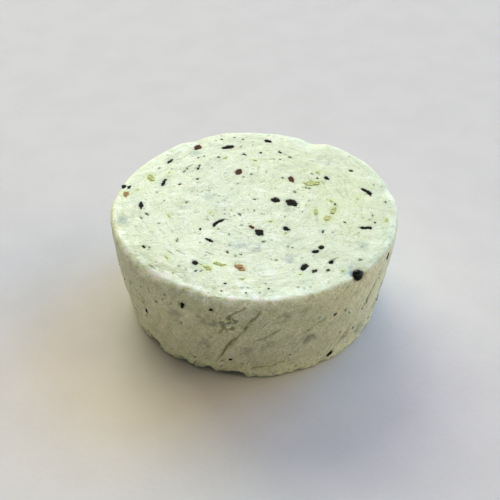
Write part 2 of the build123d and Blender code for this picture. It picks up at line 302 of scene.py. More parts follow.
def broad_shift(at):
    """How far the surface, and what lies in it, has moved from the CAD outline in large forms."""
    corner_gap = np.hypot(at.inward, at.below_top)
    slump = sum(depth * at.around(azimuth, half) for azimuth, half, depth in RIM_SLUMPS)
    sagged = slump * bell(corner_gap, SLUMP_REACH)
    down, inwards = SLUMP_DOWN * sagged, SLUMP_IN * sagged
    for azimuth, half, depth_in, depth_down in RIM_DENTS:
        near = at.around(azimuth, half)
        down += depth_down * near * bell(corner_gap, DENT_REACH_DOWN)
        inwards += depth_in * near * bell(corner_gap, DENT_REACH_IN)

    up = 0.22 * fractal(at.level, 17, 10, 2) + 0.07 * noise(at.level, 5, 13)
    out = 0.26 * fractal(at.p, 13, 20, 2) + 0.12 * noise(at.p, 4.5, 24)
    for line, _, step in ALL_CREASES:
        gap, share = at.along(line)
        out += step * taper(share) * smoothstep(-0.15, 0.3, gap) * bell(np.maximum(gap, 0), STEP_REACH)

    corner = 4 * at.top * at.flank
    crisp = RIM_CRISPNESS * (1 - np.clip(slump, 0, 1)) * (0.75 + 0.5 * noise(at.p, 6, 27))
    filled = (corner * crisp)[:, None] * (at.outward + UP) / math.sqrt(2)
    pushed = inwards[:, None] * at.outward + down[:, None] * UP
    lift, recess = foot_chips(at)
    return at.shift(up, out, 0) + filled - pushed + lift[:, None] * UP - recess[:, None] * at.outward


def foot_chips(at):
    """How far the foot's edge has come up and gone in: chipped in places, and uneven all round."""
    round_foot = at.outward * MEAN_RADIUS
    wander = 1.6 * noise(round_foot, 2.6, 31)
    lift = 0.35 * np.maximum(fractal(round_foot, 3.4, 30, 2), 0)
    lift += 0.35 * np.maximum(noise(round_foot, 1.0, 36), 0)
    recess = 0.55 * fractal(round_foot, 5, 34) + 0.3 * noise(at.p, 1.0, 37)
    for azimuth, half, height, depth in FOOT_CHIPS:
        inside = smoothstep(half + 0.8, half - 1.2, np.abs(turned(at.azimuth, azimuth)) + wander)
        lift += 0.8 * height * inside * (0.85 + 0.7 * noise(round_foot, 1.6, 33))
        recess += depth * inside
    lift = lift * smoothstep(FOOT_BAND, 0, at.above_base)
    recess = recess * smoothstep(FOOT_BAND, 0.8, at.above_base + 0.6 * noise(at.p, 1.8, 35))
    outer = smoothstep(BASE_FLAT - FOOT_UNDERCUT, BASE_FLAT - 0.3, at.radius)
    return lift * outer, recess * outer


def smear(at, seed):
    """Noise drawn out along circles about the middle of the smeared top."""
    q = at.level - SWIRL_CENTRE
    reach = np.linalg.norm(q, axis=1)
    drawn = q / np.maximum(reach, TINY)[:, None] * SMEAR_RADIUS + reach[:, None] * UP
    return noise(drawn + 0.5 * vector_noise(at.level, 6, seed + 50), 1.5, seed)


def drag(at, size, seed):
    """Noise drawn out down the flank and to the left, as a dragged blade leaves it."""
    twist = np.radians(at.azimuth) - DRAG_TWIST * at.p[:, 2]
    drawn = np.stack([np.cos(twist), np.sin(twist)], 1) * MEAN_RADIUS
    return noise(np.column_stack([drawn, at.p[:, 2] / DRAG_STRETCH]), size, seed)


def pits_and_grains(at, kinds):
    """How far the surface stands out or in at the marks scattered over it."""
    total = np.zeros(len(at.p))
    for height, spacing, share, outer, inner, stray, size, seed in kinds:
        gap = nearest_spot(at.p, spacing, seed, share) + stray * noise(at.p, size, seed + 1)
        total += height * smoothstep(outer, inner, gap)
    return total


def fine_shift(at):
    """How far the surface has moved in small forms: smears, drag marks, pits, creases, crumbs."""
    grooves = smoothstep(0.10, 0, np.abs(smear(at, 44))) * smoothstep(0.05, 0.5, noise(at.p, 9, 47))
    up = 0.035 * smear(at, 40) * (1 + noise(at.p, 11, 41)) - 0.12 * grooves
    up += 0.055 * fractal(at.level, 2.6, 48, 4)
    up += pits_and_grains(at, TOP_MARKS)

    out = 0.05 * drag(at, 1.1, 60) * (1 + 1.4 * noise(at.p, 8, 61)) + 0.13 * fractal(at.p, 3.0, 62, 4)
    out += pits_and_grains(at, FLANK_MARKS)
    waver, broken = crease_waver(at), crease_breaks(at)
    for line, depth, _ in ALL_CREASES:
        gap, share = at.along(line)
        gap = gap + waver
        deep = depth * taper(share) * broken
        out -= CREASE_BITE * deep * np.exp(-np.abs(gap) / CREASE_WIDTH)
        out += FOLD_HEIGHT * deep * bell(gap - FOLD_GAP, FOLD_WIDTH)
    out += crumbly(at) * (1.4 * crumb_noise(at) - 0.5)

    ragged = smoothstep(FOOT_BAND, 0.4, at.above_base)
    out += ragged * (0.55 * fractal(at.p, 2.6, 80) - 0.1)
    torn = smoothstep(0.1, -0.15, noise(at.p, 2.4, 84)) * bell(at.above_base - 0.9, 0.8)
    out -= 0.7 * torn * np.maximum(noise(at.p, 5, 87) + 0.1, 0)
    lift = 0.1 * np.maximum(fractal(at.p, 2.0, 90) + 0.1, 0)
    lift = lift + 0.25 * smoothstep(0.6, 0.2, nearest_spot(at.p, 4.2, 94, 0.5))
    return at.shift(up, out, lift)


def crease_breaks(at):
    """How open a crease is at each point: it closes up in places."""
    return np.clip(0.85 + 1.3 * noise(at.p, 2.4, 72), 0.15, 1.35)


def crease_waver(at):
    """How far a crease strays sideways from its line."""
    return 0.45 * noise(at.p, 2.6, 70) + 0.25 * noise(at.p, 0.9, 71)


def crumb_noise(at):
    """The grains and hollows of a crumbly place."""
    return fractal(at.p, 1.4, 74)


def crumbly(at):
    """How crumbly the flank is at each point, from 0 to 1."""
    stray = 0.9 * noise(at.p, 2.0, 75)
    total = 0
    for azimuth, z, reach in CRUMBLY_PLACES:
        gap, _ = at.along([(azimuth, z + 0.3), (azimuth, z - 0.3)])
        total = total + bell(np.maximum(np.abs(gap) + stray, 0), reach)
    return total


# ---- Meshes ----

TOP_CELLS = 140  # along each side of the grid spread over the top
RIM_STEP, FLANK_STEP, FOOT_STEP = 0.3, 0.42, 0.28  # between the rings of the flank
EDGE_BAND = 4.5  # how much of the flank counts as rim, and as foot
BASE_POINTS = 3600
BASE_MARGIN = 0.5  # between the base's outermost points and its edge
# Quads are cut twice over where they are this near a crease, or this crumbly
REFINE = [(0.7, 0.35), (0.3, 0.85)]


def new_object(name, data):
    """A new object in the scene."""
    made = bpy.data.objects.new(name, data)
    bpy.context.scene.collection.objects.link(made)
    return made


def new_piece(name, mesh, material, slot, *nodes):
    """A piece of the puck that stands for CAD nodes. Its mesh is in metres."""
    piece = new_object(name, mesh)
    mesh.materials.clear()
    mesh.materials.append(material)
    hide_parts(*nodes)
    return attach(piece, "root")


def set_points(mesh, p):
    """Puts a mesh's vertices at rows of millimetres."""
    mesh.vertices.foreach_set("co", (p * MM).astype(np.float32).ravel())
    mesh.update()


def set_smooth(mesh):
    """Shades every face smooth."""
    mesh.polygons.foreach_set("use_smooth", np.ones(len(mesh.polygons), bool))


def set_stain_and_painted_light(mesh, colours):
    """What the soap's colour is multiplied by at each vertex, for its material to read."""
    layer = mesh.attributes.new("stain_and_painted_light", "FLOAT_COLOR", "POINT")
    rows = np.column_stack([colours, np.ones(len(colours))])
    layer.data.foreach_set("color", rows.astype(np.float32).ravel())


def square_over_disc(cells, radius):
    """A square grid of points spread evenly over a disc, row by row."""
    steps = np.linspace(-1, 1, cells + 1)
    a, b = (side.ravel() for side in np.meshgrid(steps, steps, indexing="ij"))
    wide = np.abs(a) > np.abs(b)
    reach, other = np.where(wide, a, b), np.where(wide, b, a)
    eighth = np.divide(other, reach, out=np.zeros_like(a), where=reach != 0) * math.pi / 4
    angle = np.where(wide, eighth, math.pi / 2 - eighth)
    return np.stack([reach * np.cos(angle), reach * np.sin(angle)], 1) * radius


def ring_at(radius, z, angles):
    """Points at each of the angles, as rows of x, y, z."""
    return np.column_stack([radius * np.cos(angles), radius * np.sin(angles), np.full(len(angles), z)])


def bridge(inner, outer):
    """Quads from ring to ring, each given by its points' numbers."""
    return np.stack([inner, outer, np.roll(outer, -1), np.roll(inner, -1)], 1).tolist()


def flank_rings():
    """Radius and height of each ring of the flank, from just below the flat top to the flat base."""
    corners = OUTLINE[1:-1]
    lengths = np.concatenate([[0], np.cumsum(np.linalg.norm(np.diff(corners, axis=0), axis=1))])
    foot = lengths[-1] - EDGE_BAND
    spans = [(0, EDGE_BAND, RIM_STEP), (EDGE_BAND, foot, FLANK_STEP), (foot, lengths[-1], FOOT_STEP)]
    stops = [np.linspace(low, high, round((high - low) / step) + 1)[1:] for low, high, step in spans]
    where = np.concatenate(stops)
    return np.stack([np.interp(where, lengths, corners[:, i]) for i in (0, 1)], 1)


def plain_puck():
    """The puck's plain surface: its points, and its faces as rows of their numbers."""
    flat = square_over_disc(TOP_CELLS, TOP_FLAT)
    points = [np.column_stack([flat, np.full(len(flat), HEIGHT)])]
    number = np.arange(len(flat)).reshape(TOP_CELLS + 1, -1)
    cells = [number[:-1, :-1], number[1:, :-1], number[1:, 1:], number[:-1, 1:]]
    faces = np.stack([cell.ravel() for cell in cells], 1).tolist()

    border = np.concatenate([number[0], number[-1], number[1:-1, 0], number[1:-1, -1]])
    angles = np.arctan2(flat[border, 1], flat[border, 0])
    ring, angles = border[np.argsort(angles)], np.sort(angles)
    count = len(flat)
    for radius, z in flank_rings():
        lower = count + np.arange(len(ring))
        points.append(ring_at(radius, z, angles))
        faces += bridge(ring, lower)
        ring, count = lower, count + len(ring)

    rank = np.arange(1, BASE_POINTS + 1)
    reach = (BASE_FLAT - BASE_MARGIN) * np.sqrt(rank / BASE_POINTS)
    turn = rank * math.pi * (3 - math.sqrt(5))
    inner, outer = ring_at(reach, 0.0, turn), ring_at(BASE_FLAT, 0.0, angles)
    net = delaunay_2d_cdt([Vector(v[:2]) for v in np.concatenate([outer, inner])], [], [], 0, TINY)
    numbers = np.concatenate([ring, count + np.arange(BASE_POINTS)])
    where = [numbers[came_from[0]] for came_from in net[3]]
    faces += [[int(where[i]) for i in reversed(face)] for face in net[2]]
    return np.concatenate([*points, inner]), faces


def refine(mesh, chosen):
    """Cuts the chosen faces of a mesh once more each way."""
    bm = bmesh.new()
    bm.from_mesh(mesh)
    bm.faces.ensure_lookup_table()
    edges = {edge for i in np.flatnonzero(chosen) for edge in bm.faces[i].edges}
    bmesh.ops.subdivide_edges(bm, edges=list(edges), cuts=1, use_grid_fill=True)
    bmesh.ops.triangulate(bm, faces=[face for face in bm.faces if len(face.verts) > 4])
    bm.to_mesh(mesh)
    bm.free()


def crease_distance(at):
    """Distance from the nearest crease."""
    gap = np.full(len(at.p), 1e3)
    for line, _, _ in ALL_CREASES:
        off, share = at.along(line)
        gap = np.where(taper(share) > 0.05, np.minimum(gap, np.abs(off)), gap)
    return gap


def remeshed(node, voxel):
    """A CAD node's solids as a mesh of small even quads with softened edges, in millimetres."""
    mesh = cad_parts[node].data.copy()
    mesh.transform(Matrix.Scale(1 / MM, 4))
    holder = new_object("holder", mesh)
    remesh = holder.modifiers.new("remesh", "REMESH")
    remesh.mode = "VOXEL"
    remesh.voxel_size = voxel
    soften = holder.modifiers.new("soften", "SMOOTH")
    soften.iterations = 1
    depsgraph = bpy.context.evaluated_depsgraph_get()
    made = bpy.data.meshes.new_from_object(holder.evaluated_get(depsgraph), depsgraph=depsgraph)
    bpy.data.objects.remove(holder)
    bpy.data.meshes.remove(mesh)
    return made


# ---- Botanicals ----

# For each kind of node, the same on top and flank: slot, size of its quads, size of its crinkles,
# how deep they are, how far its edges are torn, and how far its rim curls up
KINDS = {
    "leaf_flake": ("dark_leaf", 0.07, 1.0, 0.035, 0.30, 0.06),
    "red_petal": ("red_petal", 0.07, 1.0, 0.035, 0.26, 0.06),
    "rust_petal": ("rust_petal", 0.08, 1.1, 0.06, 0.20, 0.10),
    "amber_husk": ("amber_husk", 0.08, 0.8, 0.07, 0.22, 0.06),
    "herb_shred": ("green_herb", 0.08, 0.6, 0.05, 0.42, 0.04),
    "round_seed": ("seed", 0.08, 0.55, 0.05, 0.03, 0.0),
    "shallow_flakes": ("dark_leaf", 0.15, 0.9, 0.05, 0.15, 0.0),
    "leaf_specks": ("dark_leaf", 0.07, 0.45, 0.05, 0.30, 0.0),
    "herb_specks": ("green_herb", 0.1, 0.45, 0.05, 0.12, 0.0),
    "flank_leaf_flake": ("dark_leaf", 0.07, 0.9, 0.035, 0.32, 0.05),
    "soap_crumbs": ("soap", 0.1, 0.6, 0.10, 0.25, 0.0),
    "base_leaf_flakes": ("dark_leaf", 0.12, 0.8, 0.04, 0.18, 0.0),
    "base_herb_shreds": ("green_herb", 0.12, 0.6, 0.04, 0.15, 0.0),
    "buried_leaf_flakes": ("dark_leaf", 0.15, 0.9, 0.08, 0.18, 0.0),
    "buried_herb_shreds": ("green_herb", 0.15, 0.7, 0.06, 0.15, 0.0),
    "buried_red_petals": ("red_petal", 0.15, 0.9, 0.08, 0.15, 0.0),
}
TILT = 1.5  # most that a flake leans out of the surface, in degrees
PRESSED, HERB_PRESSED = 0.4, 0.15  # share of a flake's height above the soap that is pressed flat
BITE = 0.4  # how far towards its middle a flake's edge is bitten in
SEED_SHRINK = 0.08  # how far the dried seed draws in from its plain ball
SEED_DIMPLE = np.array([0.70, -0.68, 0.20])  # from the seed's centre to its dimple
FIRST_SEED, SEED_GAP = 1000, 20  # for the noise of each botanical in turn


def kind_of(node):
    """The kind of a node: its name without a number at its end."""
    return node.rstrip("0123456789").rstrip("_")


def long_axis(p, facing):
    """The direction along which points spread most, at right angles to facing."""
    spread = p - p.mean(0)
    spread = spread - np.outer(spread @ facing, facing)
    return np.linalg.eigh(spread.T @ spread)[1][:, -1]


def height_above(at):
    """How far each point stands out of the puck's plain outline."""
    outside = at.radius - np.polyval(FLANK_CURVE, at.p[:, 2])
    return np.maximum(at.top * (at.p[:, 2] - HEIGHT) + at.flank * outside, 0)


def worked_flake(p, kind, size, crinkle, tear, curl, seed):
    """A botanical's vertices pressed flat, its edges torn, its faces crinkled and its rim curled."""
    if kind == "round_seed":
        return wrinkled_seed(p, seed)
    at = Places(p)
    facing = at.shift(1, 1, -1)
    facing /= np.linalg.norm(facing, axis=1)[:, None]
    torn = vector_noise(p, size * 0.8, seed) + 0.6 * vector_noise(p, size * 0.35, seed + 3)
    level = torn - (torn * facing).sum(1)[:, None] * facing
    ripple = noise(p, size, seed + 6) + 0.5 * noise(p, size * 0.4, seed + 7)
    pressed = HERB_PRESSED if "herb" in kind else PRESSED
    rise = crinkle * ripple - pressed * height_above(at)
    moved = p + tear * level
    if curl:
        middle, mean_facing = p.mean(0), facing.mean(0)
        mean_facing /= np.linalg.norm(mean_facing)
        along = long_axis(p, mean_facing)
        across = np.cross(mean_facing, along)
        u, v = (p - middle) @ along, (p - middle) @ across
        reach = (u / np.abs(u).max()) ** 2 + (v / np.abs(v).max()) ** 2
        bite = BITE * smoothstep(0.08, 0.40, noise(p, size * 1.1, seed + 9)) * np.clip(reach, 0, 1)
        moved = moved - np.outer(bite * u, along) - np.outer(bite * v, across)
        vein = bell(v + 0.12 * noise(p, 1.5, seed + 8), 0.14)
        vein *= smoothstep(1, 0.6, np.abs(u / u.max()))
        rng = random.Random(seed)
        lean = u * rng.uniform(-1, 1) + v * rng.uniform(-1, 1)
        rise += curl * (reach - 0.6) * 0.5 + 0.05 * vein + math.radians(TILT) * lean
    return moved + rise[:, None] * facing


def wrinkled_seed(p, seed):
    """A dried round seed: a net of fine wrinkles, and a dimple where its stalk was."""
    middle = (p.max(0) + p.min(0)) / 2
    out = (p - middle) / np.linalg.norm(p - middle, axis=1)[:, None]
    net = 0.045 * smoothstep(0.3, 0, np.abs(noise(p, 0.6, seed))) + 0.03 * noise(p, 0.35, seed + 1)
    dimple = 0.12 * bell(np.linalg.norm(out - SEED_DIMPLE, axis=1), 0.22)
    return p - (SEED_SHRINK + net + dimple)[:, None] * out


def soap_film(p, kind):
    """How thickly soap films over each point of a botanical, from 0 to 1: specks by the patch, and
    herbs in smears."""
    if "specks" in kind:
        return 0.85 * smoothstep(-0.15, 0.25, noise(p, 3.2, 130))
    if "herb" in kind:
        return 0.4 * smoothstep(-0.1, 0.4, noise(p, 0.9, 133))
    return np.zeros(len(p))


def make_botanicals(materials):
    """Every botanical and crumb as a piece of its own. Returns where each kind's surface lies."""
    where = {}
    for i, node in enumerate(sorted(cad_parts)):
        if node == "soap_puck":
            continue
        kind = kind_of(node)
        slot, voxel, *working = KINDS[kind.removesuffix("_top").removesuffix("_flank")]
        mesh = remeshed(node, voxel)
        p = points_of(mesh.vertices)
        moved = worked_flake(p, kind, *working, FIRST_SEED + SEED_GAP * i)
        moved = moved + broad_shift(Places(p))
        if kind.startswith("base"):
            moved[:, 2] = np.maximum(moved[:, 2], 0)
        set_points(mesh, moved)
        set_smooth(mesh)
        if slot == "soap":
            set_stain_and_painted_light(mesh, np.ones((len(p), 3)))
        film = mesh.attributes.new("film", "FLOAT", "POINT")
        film.data.foreach_set("value", soap_film(p, kind).astype(np.float32))
        new_piece(node + "_detail", mesh, materials[slot], slot, node)
        where.setdefault(kind, []).append(moved)
    return {kind: np.concatenate(found) for kind, found in where.items()}


# ---- Soap body ----

# What each kind does to the soap beside it: what the soap's colour is multiplied by, and how far; round the
# seed it is painted shadow
STAINS_AND_SHADOW = {
    "shallow_flakes_top": ((0.60, 0.66, 0.73), 0.8),
    "shallow_flakes_flank": ((0.50, 0.51, 0.50), 0.85),
    "leaf_flake": ((0.66, 0.71, 0.75), 0.32),
    "flank_leaf_flake": ((0.62, 0.63, 0.58), 0.35),
    "red_petal": ((0.92, 0.78, 0.72), 0.35),
    "rust_petal": ((0.92, 0.80, 0.62), 0.35),
    "amber_husk": ((0.90, 0.82, 0.60), 0.5),
    "herb_shred": ((0.94, 0.98, 0.74), 0.7),
    "herb_specks_top": ((0.90, 0.97, 0.66), 0.5),
    "herb_specks_flank": ((0.88, 0.92, 0.66), 0.5),
    # painted shadow: a bluish dark ring round the seed
    "round_seed": ((0.46, 0.49, 0.60), 0.55),
    "leaf_specks_top": ((0.76, 0.80, 0.77), 0.25),
    "leaf_specks_flank": ((0.74, 0.75, 0.70), 0.25),
}
# What it is multiplied by: painted shade in creases, painted highlights on loose grains, painted warm shade
# down the flank, and painted light at its foot and on the rim
CREASE_SHADE_COLOUR, CRUMB_HIGHLIGHT_COLOUR = (0.50, 0.47, 0.38), (1.35, 1.35, 1.35)
FLANK_SHADE_TINT, FOOT_LIGHT_COLOUR, RIM_LIGHT_COLOUR = (1.08, 0.965, 0.80), (1.3, 1.3, 1.3), (1.35, 1.42, 1.66)
CREASE_SHADE_WIDTH, DARKEST_CREASE_DEPTH = 0.18, 0.4  # of the painted shade in creases, and how deep the darkest creases are
FOOT_LIGHT_BAND = 8.0  # how far up the flank its foot gets painted light
# Faint tints of the soap: x, y, reach, and what its colour is multiplied by there
TINTS = [
    (24, 6, 15, (0.99, 0.99, 0.88)), (8, 27, 14, (0.98, 0.985, 0.92)), (-26, 12, 10, (0.97, 0.985, 0.95)),
    (30, -12, 9, (0.97, 0.97, 0.93)), (-9, 2, 9, (0.965, 0.985, 1.0)),
    (-6, -24, 15, (1.03, 1.03, 1.07)),
]
# The rim gets painted light, most of all about one azimuth at the front: how far it spreads down and
# across, how strong it is elsewhere, that azimuth, its half width, and the degrees over which it comes and
# goes
RIM_LIGHT_SPREAD, RIM_LIGHT_ELSEWHERE = 3.0, 0.3
RIM_LIGHT_AZIMUTH, RIM_LIGHT_WIDTH, RIM_LIGHT_FADE = -112, 46, 20
SHALLOW_DEPTH, OPEN_DEPTH = 0.35, 0.1  # soap over flakes just under the surface, and over the rest
CALM_REACH = 0.9  # how far from a botanical its soap is smoothed down
LIP, LIP_GAP = 0.04, 0.45  # how high the soap rises beside a botanical, and how far from it
SUNK = 0.07  # how far the soap lies back beneath a botanical
SEED_POCKET, SEED_REACH = 1.25, 2.2  # depth and spread of the hollow round the seed
FAR = 2.5  # past this distance a botanical leaves no mark


def distance_to(p, others):
    """Distance from each point to the nearest of the others, or FAR where that is further."""
    def number(cell):
        return (cell @ [1, 1000, 1000000]).astype(int)

    cells = np.unique(np.floor(others / FAR), axis=0)
    around = np.concatenate([number(cells + np.array(step) - 1) for step in np.ndindex(3, 3, 3)])
    close = np.flatnonzero(np.isin(number(np.floor(p / FAR)), around))
    tree = KDTree(len(others))
    for i, other in enumerate(others):
        tree.insert(other, i)
    tree.balance()
    gap = np.full(len(p), FAR)
    gap[close] = np.minimum([tree.find(point)[2] for point in p[close]], FAR)
    return gap


def crease_painted_shade(at):
    """How much painted shade each point gets from lying in a crease or a crumbly hollow, from 0 to 1."""
    waver, broken = crease_waver(at), crease_breaks(at)
    painted_shade = np.zeros(len(at.p))
    for line, depth, _ in ALL_CREASES:
        gap, share = at.along(line)
        painted_shade += taper(share) * np.exp(-np.abs(gap + waver) / CREASE_SHADE_WIDTH) * min(depth / DARKEST_CREASE_DEPTH, 1)
    # painted shade in the hollows of crumbly places
    hollows = crumbly(at) * smoothstep(0.0, -0.3, crumb_noise(at))
    return np.clip(painted_shade * broken + hollows, 0, 1) * at.flank


def rim_painted_light(at):
    """How much painted light each point near the rim gets, from 0 to about 1."""
    gap = np.where(at.top > 0.5, at.inward * 0.6, at.below_top) + 1.7 * fractal(at.p, 3.4, 140)
    aside = np.abs(turned(at.azimuth, RIM_LIGHT_AZIMUTH))
    here = smoothstep(RIM_LIGHT_WIDTH + RIM_LIGHT_FADE, RIM_LIGHT_WIDTH - RIM_LIGHT_FADE, aside)
    brightened = RIM_LIGHT_ELSEWHERE + (1 - RIM_LIGHT_ELSEWHERE) * here
    uneven = np.clip(0.7 + 0.9 * fractal(at.p, 2.2, 141), 0.1, 1)
    return brightened * smoothstep(RIM_LIGHT_SPREAD, 0.2, gap) * uneven


def partly(share, colour):
    """What to multiply a colour by, at each point's share of the way from no change to colour."""
    return 1 - share[:, None] * (1 - np.array(colour))


def soap_stain_and_painted_light(p, worked, where):
    """What the soap's colour is multiplied by at each point: stains and the seed's painted shadow from what
    lies in and beside it, faint tints, and painted light and shade on the flank, foot, rim, crumbly places
    and creases.
    """
    stain_and_painted_light = np.ones((len(p), 3))
    strayed = worked + 0.55 * vector_noise(p, 1.5, 115) + 0.25 * vector_noise(p, 0.6, 119)
    for kind, (colour, reach) in STAINS_AND_SHADOW.items():
        hidden = kind.startswith("shallow")
        gap = distance_to(strayed if hidden else worked, where[kind])
        cover = SHALLOW_DEPTH if hidden else OPEN_DEPTH
        uneven = 0.55 + 1.1 * fractal(p, 2.4, 110) if hidden else 0.8 + 0.5 * fractal(p, 1.5, 112, 2)
        strength = bell(np.maximum(gap - cover, 0), reach) * uneven
        stain_and_painted_light *= partly(np.clip(strength, 0, 1), colour)
    at = Places(p)
    for x, y, reach, colour in TINTS:
        stain_and_painted_light *= partly(at.top * bell(np.hypot(p[:, 0] - x, p[:, 1] - y), reach), colour)
    # painted warm shade all down the flank
    stain_and_painted_light *= partly(at.flank, FLANK_SHADE_TINT)
    # painted light low on the flank, near the foot
    stain_and_painted_light *= partly(at.flank * smoothstep(FOOT_LIGHT_BAND, 0, at.above_base), FOOT_LIGHT_COLOUR)
    # painted light on the rim, strongest towards the front
    stain_and_painted_light *= partly(rim_painted_light(at), RIM_LIGHT_COLOUR)
    # painted highlights on the raised grains of crumbly places
    stain_and_painted_light *= partly(crumbly(at) * smoothstep(0.1, 0.35, crumb_noise(at)), CRUMB_HIGHLIGHT_COLOUR)
    # painted shade in creases and crumbly hollows
    return stain_and_painted_light * partly(crease_painted_shade(at), CREASE_SHADE_COLOUR)


def make_soap(materials, where):
    """The soap body, worked all over, with the marks that the botanicals leave in it."""
    points, faces = plain_puck()
    mesh = bpy.data.meshes.new("soap_body")
    mesh.from_pydata(points.tolist(), [], faces)
    for crease_reach, crumb_share in REFINE:
        at = Places(points_of(mesh.polygons, "center"))
        chosen = (crease_distance(at) < crease_reach) | (crumbly(at) > crumb_share)
        refine(mesh, chosen & (at.flank > 0.5))

    p = points_of(mesh.vertices)
    at = Places(p)
    broad = p + broad_shift(at)
    proud = np.concatenate([found for kind, found in where.items()
                            if not kind.startswith(("shallow", "buried", "base", "herb"))])
    near = distance_to(broad, proud)
    calm = smoothstep(0, CALM_REACH, near)[:, None]
    lip = LIP * bell(near - LIP_GAP, 0.25) - SUNK * smoothstep(0.34, 0.12, near)
    seed = where["round_seed"].mean(0)
    pocket = SEED_POCKET * bell(np.linalg.norm(broad - seed, axis=1), SEED_REACH)
    worked = broad + calm * fine_shift(at) + at.shift(lip - pocket, lip - pocket, 0)
    worked[:, 2] = np.maximum(worked[:, 2], 0)
    set_points(mesh, worked)
    set_smooth(mesh)
    set_stain_and_painted_light(mesh, soap_stain_and_painted_light(p, worked, where))
    new_piece("soap_body", mesh, materials["soap"], "soap", "soap_puck")


# ---- Materials ----

class Shader:
    """A material being put together, node by node. Colours are linear, and sizes millimetres."""

    def __init__(self, name):
        self.material = bpy.data.materials.new(name)
        self.material.use_nodes = True
        self.tree = self.material.node_tree
        self.surface = self.tree.nodes["Principled BSDF"]
        self.place = self.add("TexCoord").outputs["Object"]

    def feed(self, value, socket):
        """Sets a socket to a value, or joins it to another socket."""
        if isinstance(value, bpy.types.NodeSocket):
            self.tree.links.new(value, socket)
        elif value is not None:
            socket.default_value = value

    def add(self, kind, inputs=None, **settings):
        """A node of a kind such as Math, with its settings and inputs."""
        node = self.tree.nodes.new("ShaderNode" + kind)
        for key, value in settings.items():
            setattr(node, key, value)
        for key, value in (inputs or {}).items():
            self.feed(value, node.inputs[key])
        return node

    def noise(self, size, detail=2.0, vector=None, rough=0.5, distortion=0.0):
        """Noise from 0 to 1 with features about size millimetres across."""
        inputs = {"Vector": vector or self.place, "Scale": 1 / (size * MM), "Detail": detail,
                  "Roughness": rough, "Distortion": distortion}
        return self.add("TexNoise", inputs).outputs["Fac"]

    def spots(self, spacing, smallest, largest, soft, vector=None):
        """1 inside round spots of mixed sizes scattered spacing apart, and 0 outside."""
        inputs = {"Vector": vector or self.place, "Scale": 1 / (spacing * MM)}
        cells = self.add("TexVoronoi", inputs)
        size = self.add("SeparateColor", {"Color": cells.outputs["Color"]}).outputs["Red"]
        radius = self.between(size, 0, 1, smallest / spacing, largest / spacing)
        edge = self.maths("SUBTRACT", cells.outputs["Distance"], radius)
        return self.between(edge, 0, -soft / spacing, 0, 1)

    def jittered(self, size, reach):
        """The place pushed about by up to reach, so that round spots lose their shape."""
        inputs = {"Vector": self.place, "Scale": 1 / (size * MM), "Detail": 2.0}
        push = self.add("TexNoise", inputs).outputs["Color"]
        push = self.vector("SUBTRACT", push, (0.5, 0.5, 0.5))
        push = self.vector("MULTIPLY", push, (2 * reach * MM,) * 3)
        return self.vector("ADD", push, self.place)

    def between(self, value, low, high, new_low=0.0, new_high=1.0):
        """value's low to high mapped smoothly to new_low to new_high, and held beyond."""
        inputs = {"Value": value, "From Min": low, "From Max": high, "To Min": new_low, "To Max": new_high}
        return self.add("MapRange", inputs, interpolation_type="SMOOTHSTEP").outputs["Result"]

    def maths(self, operation, a, b):
        """a and b put through a maths node."""
        return self.add("Math", {0: a, 1: b}, operation=operation).outputs[0]

    def vector(self, operation, a, b=None):
        """a and b put through a vector maths node."""
        node = self.add("VectorMath", {0: a, 1: b}, operation=operation)
        return node.outputs["Value" if operation == "LENGTH" else "Vector"]

    def mix(self, share, a, b, blend="MIX"):
        """Colour a going to colour b by share, which is a number or a socket."""
        a, b = ((*colour, 1) if isinstance(colour, tuple) else colour for colour in (a, b))
        node = self.add("Mix", {0: share, 6: a, 7: b}, data_type="RGBA", blend_type=blend)
        return node.outputs[2]

    def bump(self, *layers):
        """Bumps one over another, each given as a height from 0 to 1 and its depth in millimetres."""
        normal = None
        for height, depth in layers:
            inputs = {"Height": height, "Distance": depth * MM, "Normal": normal}
            normal = self.add("Bump", inputs).outputs["Normal"]
        self.tree.links.new(normal, self.surface.inputs["Normal"])

    def finish(self, **inputs):
        """Sets the surface's inputs, named with underscores for spaces, and gives the material."""
        for key, value in inputs.items():
            self.feed(value, self.surface.inputs[key.replace("_", " ")])
        return self.material


STREAK_RADIUS = 6.0  # how far out the streaks on the top are as long as they are wide
STREAK_SQUEEZE = 0.16  # of heights on the flank, which draws its streaks out


def smeared_place(shader):
    """The place on the top drawn out along circles about the middle of the smear."""
    from_centre = shader.vector("SUBTRACT", shader.place, tuple(SWIRL_CENTRE * MM))
    flat = shader.vector("MULTIPLY", from_centre, (1, 1, 0))
    turn = shader.vector("MULTIPLY", shader.vector("NORMALIZE", flat), (STREAK_RADIUS * MM,) * 3)
    parts = shader.add("SeparateXYZ", {"Vector": turn}).outputs
    inputs = {"X": parts["X"], "Y": parts["Y"], "Z": shader.vector("LENGTH", flat)}
    return shader.add("CombineXYZ", inputs).outputs[0]


def dragged_place(shader):
    """The place on the flank drawn out down it and to the left."""
    height = shader.add("SeparateXYZ", {"Vector": shader.place}).outputs["Z"]
    inputs = {"Vector": shader.place, "Angle": shader.maths("MULTIPLY", height, -DRAG_TWIST / MM)}
    leaned = shader.add("VectorRotate", inputs, rotation_type="Z_AXIS").outputs[0]
    return shader.vector("MULTIPLY", leaned, (1, 1, STREAK_SQUEEZE))


